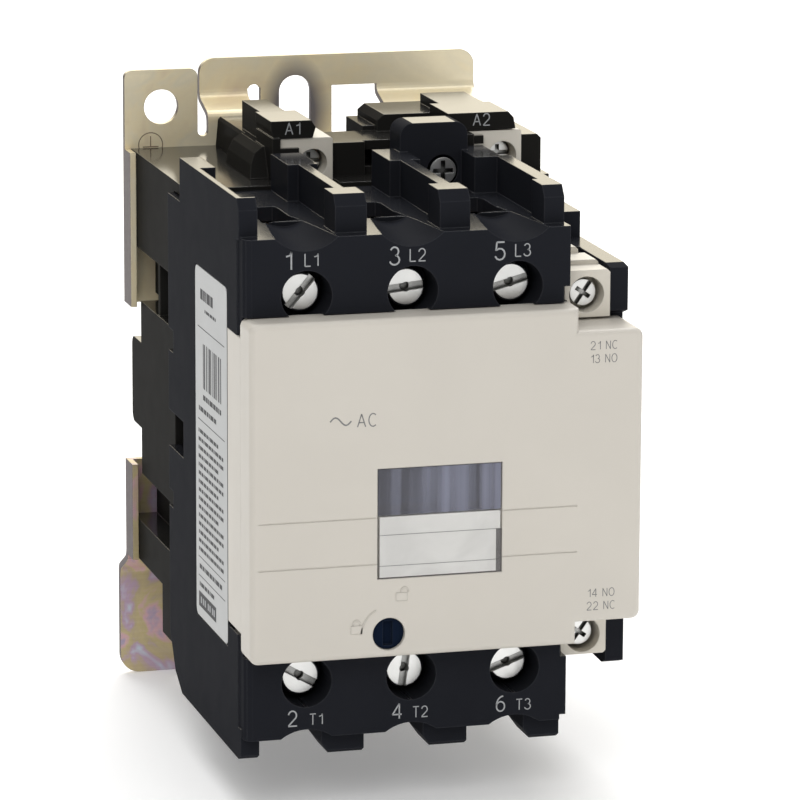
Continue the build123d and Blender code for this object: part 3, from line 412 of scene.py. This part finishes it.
def arc(x, y, rx, ry, start, stop, steps=9):
    """Points along part of an ellipse, angles in degrees."""
    turns = [math.radians(start + (stop - start) * i / steps) for i in range(steps + 1)]
    return [(x + rx * math.cos(t), y + ry * math.sin(t)) for t in turns]


# Strokes of each letter, in a box one unit high.
LETTERS = {
    "1": [[(0.08, 0.74), (0.34, 0.80), (0.42, 1.0)], [(0.42, 1.0), (0.42, 0.0)]],
    "2": [arc(0.32, 0.70, 0.30, 0.30, 170, -35) + [(0.02, 0.03)], [(0.0, 0.0), (0.66, 0.0)]],
    "3": [arc(0.30, 0.75, 0.26, 0.25, 160, -80), arc(0.30, 0.27, 0.32, 0.27, 75, -165)],
    "4": [[(0.52, 0.0), (0.52, 1.0)], [(0.52, 1.0), (0.0, 0.28)], [(0.0, 0.28), (0.70, 0.28)]],
    "5": [[(0.60, 1.0), (0.10, 1.0)], [(0.10, 1.0), (0.05, 0.52)],
          arc(0.30, 0.32, 0.33, 0.32, 135, -160)],
    "6": [arc(0.33, 0.32, 0.31, 0.32, 0, 360, 16), arc(0.55, 0.40, 0.53, 0.60, 92, 178)],
    "A": [[(0.0, 0.0), (0.36, 1.0)], [(0.36, 1.0), (0.72, 0.0)], [(0.13, 0.34), (0.59, 0.34)]],
    "C": [arc(0.40, 0.5, 0.38, 0.5, 50, 310, 14)],
    "L": [[(0.0, 1.0), (0.0, 0.0)], [(0.0, 0.0), (0.52, 0.0)]],
    "N": [[(0.0, 0.0), (0.0, 1.0)], [(0.0, 1.0), (0.60, 0.0)], [(0.60, 0.0), (0.60, 1.0)]],
    "O": [arc(0.38, 0.5, 0.37, 0.5, 0, 360, 20)],
    "T": [[(0.0, 1.0), (0.64, 1.0)], [(0.32, 1.0), (0.32, 0.0)]],
}


class Print:
    """Collects flat marks in one mesh, then makes one piece of them."""

    def __init__(self):
        self.points = []
        self.faces = []

    def text(self, body, height, matrix, weight=0.092, narrow=0.88):
        """Single-stroke capitals and digits, centred on the matrix's origin."""
        widths = []
        for letter in body:
            if letter == " ":
                widths.append(SPACE_WIDTH)
            else:
                widths.append(narrow * max(x for line in LETTERS[letter] for x, y in line))
        x = -(sum(widths) + LETTER_GAP * (len(body) - 1)) / 2
        for letter, width in zip(body, widths):
            for line in LETTERS.get(letter, ()):
                points = [((x + narrow * px) * height, (py - 0.5) * height) for px, py in line]
                self.stroke(points, weight * height, matrix)
            x += width + LETTER_GAP

    def slab(self, outline, matrix, thick=INK_THICK):
        """A thin prism over a counter-clockwise outline in the face's own plane."""
        start = len(self.points)
        count = len(outline)
        for z in (-thick / 2, thick / 2):
            self.points += [matrix @ Vector((x, y, z)) for x, y in outline]
        self.faces.append([start + count + i for i in range(count)])
        self.faces.append([start + count - 1 - i for i in range(count)])
        for i in range(count):
            j = (i + 1) % count
            self.faces.append([start + i, start + j, start + count + j, start + count + i])

    def bar(self, x, y, width, height, matrix, thick=INK_THICK):
        """An upright rectangle round a centre in the face's own plane."""
        w = width / 2
        h = height / 2
        corners = [(x - w, y - h), (x + w, y - h), (x + w, y + h), (x - w, y + h)]
        self.slab(corners, matrix, thick)

    def stroke(self, line, width, matrix, thick=INK_THICK):
        """A ribbon along a polyline in the face's own plane."""
        sides = ([], [])
        for i, point in enumerate(line):
            before = Vector(line[max(i - 1, 0)])
            after = Vector(line[min(i + 1, len(line) - 1)])
            along = (after - before).normalized()
            across = Vector((-along.y, along.x)) * width / 2
            sides[0].append(Vector(point) + across)
            sides[1].append(Vector(point) - across)
        start = len(self.points)
        count = len(line)
        top = 2 * count
        for z in (-thick / 2, thick / 2):
            for side in sides:
                self.points += [matrix @ Vector((p.x, p.y, z)) for p in side]
        for i in range(count - 1):
            a, b, c, d = start + i, start + i + 1, start + count + i + 1, start + count + i
            self.faces.append([a, b, c, d])
            self.faces.append([a + top, d + top, c + top, b + top])
            self.faces.append([a, a + top, b + top, b])
            self.faces.append([d, c, c + top, d + top])
        p, q = start, start + count
        self.faces.append([p, q, q + top, p + top])
        p, q = start + count - 1, start + 2 * count - 1
        self.faces.append([p + top, q + top, q, p])

    def build(self, name, mat, body="housing"):
        """Make the collected marks one piece that rides a body."""
        mesh = bpy.data.meshes.new(name)
        mesh.from_pydata([tuple(p) for p in self.points], [], self.faces)
        mesh.update()
        mesh.materials.append(mat)
        piece = bpy.data.objects.new(name, mesh)
        bpy.context.scene.collection.objects.link(piece)
        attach(piece, body)


def middle(node):
    """Centre of a node's box."""
    low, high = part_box(node)
    return (low + high) / 2


def terminal_numbers():
    """Terminal numbers printed on the black front blocks and on the coil terminals' caps."""
    face = TERMINAL_FACE - LIFT
    ink = Print()
    for n in (1, 2, 3):
        line = middle(f"line_screw_{n}")
        load = middle(f"load_screw_{n}")
        for body, height, x, z in ((str(2 * n - 1), 3.3, line.x - 3.5 * MM, 42.6 * MM),
                                   (f"L{n}", 2.3, line.x + 0.9 * MM, 42.6 * MM),
                                   (str(2 * n), 2.9, load.x - 2.7 * MM, -43.8 * MM),
                                   (f"T{n}", 2.05, load.x + 1.8 * MM, -44.2 * MM)):
            ink.text(body, height * MM, face_matrix(Vector((x, face, z)), FRONT))
    cap = COIL_CAP_FACE - LIFT
    for body, x, z in (("A1", -13.9, 57.5), ("A2", 24.0, 57.8)):
        ink.text(body, 2.3 * MM, face_matrix(Vector((x * MM, cap, z * MM)), FRONT))
    ink.build("terminal_numbers", INK["white"])


def cover_print():
    """Grey markings on the front cover: supply sign and auxiliary terminal numbers."""
    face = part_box("front_cover")[0].y - LIFT
    supply_z = 13.4 * MM
    ink = Print()
    ink.text("AC", 2.4 * MM, face_matrix(Vector((-15.6 * MM, face, supply_z)), FRONT))
    wave = []
    for i in range(13):
        t = i / 12
        wave.append((-2.0 * MM + 4.0 * MM * t, 0.75 * MM * math.sin(2 * math.pi * t)))
    ink.stroke(wave, 0.28 * MM, face_matrix(Vector((-20.5 * MM, face, supply_z)), FRONT))
    for words, z in (("21 NC", 25.1), ("13 NO", 22.6), ("14 NO", -22.0), ("22 NC", -24.5)):
        ink.text(words, 1.55 * MM, face_matrix(Vector((29.7 * MM, face, z * MM)), FRONT))
    ink.build("cover_print", INK["grey"])


def latch_marks():
    """Raised turning arc, and signs of a closed and an open padlock, round the latch."""
    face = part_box("front_cover")[0].y - RAISED_LIFT
    matrix = face_matrix(Vector((-11.25 * MM, face, -27.3 * MM)), FRONT)
    line = 0.3 * MM
    ridge = Print()
    ridge.stroke(arc(0, 0, 5.3 * MM, 5.3 * MM, 118, 176, 12), line, matrix, RAISED_THICK)
    for x, y, swung in ((-6.2 * MM, 1.2 * MM, 0.0), (2.4 * MM, 7.0 * MM, 0.6 * MM)):
        ridge.bar(x, y, 2.2 * MM, 1.6 * MM, matrix, RAISED_THICK)
        shackle = arc(x + swung, y + 0.9 * MM, 0.7 * MM, 0.9 * MM, 0, 180)
        ridge.stroke(shackle, line, matrix, RAISED_THICK)
    ridge.build("latch_marks", MATERIALS["beige_plastic"])


def marker_edges():
    """Moulded lines of the marker holder, and painted shade along its lower and right edges."""
    low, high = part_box("marker_holder")
    centre = (low + high) / 2
    wide = high.x - low.x
    tall = high.z - low.z
    lines = Print()
    edge_shade = Print()
    matrix = face_matrix(Vector((centre.x, low.y - RAISED_LIFT, centre.z)), FRONT)
    for down in (0.27, 0.73):
        lines.bar(0, tall * (0.5 - down), wide * 0.98, 0.10 * MM, matrix)
    # painted shade: dark see-through strips along the holder's right and lower edges
    edge_shade.bar(wide * 0.450, -tall * 0.115, wide * 0.07, tall * 0.69, matrix)
    edge_shade.bar(-wide * 0.035, -tall * 0.43, wide * 0.90, tall * 0.06, matrix)
    lines.build("marker_lines", INK["grey"])
    edge_shade.build("marker_edges", MATERIALS["painted_edge_shade"])


def earth_sign():
    """Earth sign in a circle, stamped on the tab of the mounting plate."""
    matrix = face_matrix(Vector((-32.2 * MM, EARTH_TAB_FACE - LIFT, 48.1 * MM)), FRONT)
    sign = Print()
    sign.stroke(arc(0, 0, 2.45 * MM, 2.45 * MM, -28, 208, 26), 0.20 * MM, matrix)
    sign.bar(0, 0.7 * MM, 0.2 * MM, 2.1 * MM, matrix)
    for y, width in ((-0.4, 3.2), (-0.85, 1.9)):
        sign.bar(0, y * MM, width * MM, 0.22 * MM, matrix)
    sign.build("earth_sign", printed("stamped_mark", (0.22, 0.16, 0.10), 0.4))


def label_print():
    """Generic rating label: title, rules, bar code, rows of small print and a footer box."""
    low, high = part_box("rating_label")
    centre = (low + high) / 2
    matrix = face_matrix(Vector((low.x - LIFT, centre.y, centre.z)), LEFT)
    ink = Print()

    def words(y, start, stop, tall, seed):
        """A row of bars that stand for words."""
        x = start
        step = seed
        while x < stop - 0.8:
            word = min(0.7 + 0.6 * ((step * 7 + seed * 3) % 4), stop - x)
            ink.bar((x + word / 2) * MM, y * MM, word * MM, tall * MM, matrix)
            x += word + 0.45
            step += 1

    words(29.0, -8.5, 2.5, 2.0, 1)
    words(26.2, -5.0, 4.5, 0.6, 2)
    for y in (22.5, 4.6, -22.3, -26.0):
        ink.bar(0, y * MM, 21.5 * MM, 0.16 * MM, matrix)
    x = -6.5
    step = 0
    while x < 8.5:
        thick = 0.28 + 0.30 * ((step * 5) % 3)
        ink.bar((x + thick / 2) * MM, 15.4 * MM, thick * MM, 8.6 * MM, matrix)
        x += thick + 0.35 + 0.22 * ((step * 3) % 4)
        step += 1
    words(9.4, -6.5, 8.0, 1.0, 3)
    words(6.8, -10.0, 4.0, 0.9, 4)
    for row in range(15):
        words(2.4 - 1.65 * row, -10.4, 9.6 if row % 3 else 6.4, 0.72, row)
    words(-24.1, -10.0, 9.0, 0.9, 5)
    words(-27.6, -10.0, 3.0, 0.8, 6)
    footer_y = -30.6 * MM
    ink.bar(-3.6 * MM, footer_y, 14.0 * MM, 2.9 * MM, matrix)
    ink.build("label_print", INK["black"])
    reverse = Print()
    lifted = face_matrix(Vector((low.x - REVERSE_LIFT, centre.y, centre.z)), LEFT)
    for x in (-8.6, -6.9, -5.4, -2.9, -1.5, 0.6, 1.9):
        reverse.bar(x * MM, footer_y, 0.9 * MM, 1.3 * MM, lifted)
    reverse.build("label_footer", INK["white"])


# ---- stage ----------------------------------------------------------------------------------
def aim(thing, target):
    """Turn a light or the camera towards a point."""
    thing.rotation_mode = "QUATERNION"
    thing.rotation_quaternion = (target - thing.location).to_track_quat("-Z", "Y")


def soft_light(name, place, target, size, power, colour=(1.0, 1.0, 1.0)):
    """A rectangular area light that looks at a point."""
    data = bpy.data.lights.new(name, "AREA")
    data.shape = "RECTANGLE"
    data.size, data.size_y = size
    data.energy = power
    data.color = colour
    light = bpy.data.objects.new(name, data)
    light.location = place
    aim(light, Vector(target))
    bpy.context.scene.collection.objects.link(light)


def studio():
    """Pale floor, soft lights and the camera."""
    mesh = bpy.data.meshes.new("floor")
    reach = 6.0
    level = cad_low.z - 0.0002
    corners = [(-reach, -reach), (reach, -reach), (reach, reach), (-reach, reach)]
    mesh.from_pydata([(x, y, level) for x, y in corners], [], [(0, 1, 2, 3)])
    paper = printed("floor_paper", (0.86, 0.86, 0.86), 0.8)
    glow = paper.node_tree.nodes["Principled BSDF"].inputs
    glow["Emission Color"].default_value = (1.0, 1.0, 1.0, 1.0)
    glow["Emission Strength"].default_value = 0.25
    mesh.materials.append(paper)
    floor = bpy.data.objects.new("floor", mesh)
    bpy.context.scene.collection.objects.link(floor)

    world = bpy.data.worlds.new("studio")
    world.use_nodes = True
    sky = world.node_tree.nodes["Background"].inputs
    sky["Color"].default_value = (1.0, 1.0, 1.0, 1.0)
    sky["Strength"].default_value = 0.28
    bpy.context.scene.world = world

    target = (0, -0.05, 0)
    soft_light("key", (-0.45, -1.05, 0.85), target, (0.7, 0.7), 5.8)
    soft_light("top", (0.0, -0.05, 1.0), target, (0.9, 0.9), 4.0)
    soft_light("fill", (0.95, -0.7, 0.35), target, (0.6, 0.9), 2.2)
    soft_light("rear card", (0.45, 1.6, 0.50), (0.0, 0.0, 0.1), (2.0, 1.0), 9.5,
               (1.0, 0.90, 0.68))
    soft_light("backdrop", (0.3, 1.5, 1.6), (0.3, 1.3, 0), (2.0, 1.6), 45.0)

    data = bpy.data.cameras.new("camera")
    data.sensor_width = 36.0
    data.lens = 224.2
    data.clip_start = 0.01
    camera = bpy.data.objects.new("camera", data)
    camera.location = (-0.2471, -0.9714, 0.2115)
    aim(camera, Vector((0.0065, -0.0570, 0.0039)))
    roll = Matrix.Rotation(math.radians(0.24), 3, "Z").to_quaternion()
    camera.rotation_quaternion = camera.rotation_quaternion @ roll
    bpy.context.scene.collection.objects.link(camera)
    bpy.context.scene.camera = camera
    bpy.context.scene.view_settings.view_transform = "Standard"


dress_nodes()
terminal_numbers()
cover_print()
latch_marks()
marker_edges()
earth_sign()
label_print()
studio()
